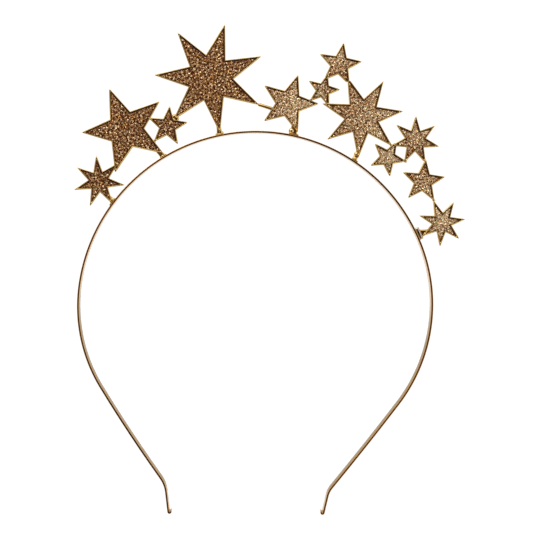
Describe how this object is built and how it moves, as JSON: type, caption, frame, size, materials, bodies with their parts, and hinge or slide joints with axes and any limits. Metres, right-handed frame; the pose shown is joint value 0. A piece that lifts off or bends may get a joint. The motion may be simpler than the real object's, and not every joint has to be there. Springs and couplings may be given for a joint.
{
  "type": "star headband",
  "caption": "Gold-tone metal headband: a narrow springy strip bent to go over the head, with a spray of glitter-filled stars soldered tip to tip along its crown.",
  "frame": {"origin": "middle of the crown, at the middle of the strip's thickness, on the back edge that the headband lies on", "axes": "+X to the right along the crown as seen from the glitter side, +Y from the open ends to the crown, +Z from the back to the glitter faces"},
  "size_m": [0.1535, 0.193, 0.005],
  "materials": {
    "gold_plate": "polished gold-tone plating",
    "bronze_glitter": "coarse glitter in clear resin, dark bronze",
    "champagne_glitter": "coarse glitter in clear resin, pale champagne gold"
  },
  "bodies": {
    "root": {"metal_frame": "gold_plate", "glitter_star_1": "bronze_glitter", "glitter_star_2": "bronze_glitter", "glitter_star_3": "bronze_glitter", "glitter_star_4": "bronze_glitter", "glitter_star_5": "champagne_glitter", "glitter_star_6": "champagne_glitter", "glitter_star_7": "champagne_glitter", "glitter_star_8": "champagne_glitter", "glitter_star_9": "champagne_glitter", "glitter_star_10": "champagne_glitter", "glitter_star_11": "champagne_glitter", "glitter_star_12": "champagne_glitter"}
  },
  "joints": []
}
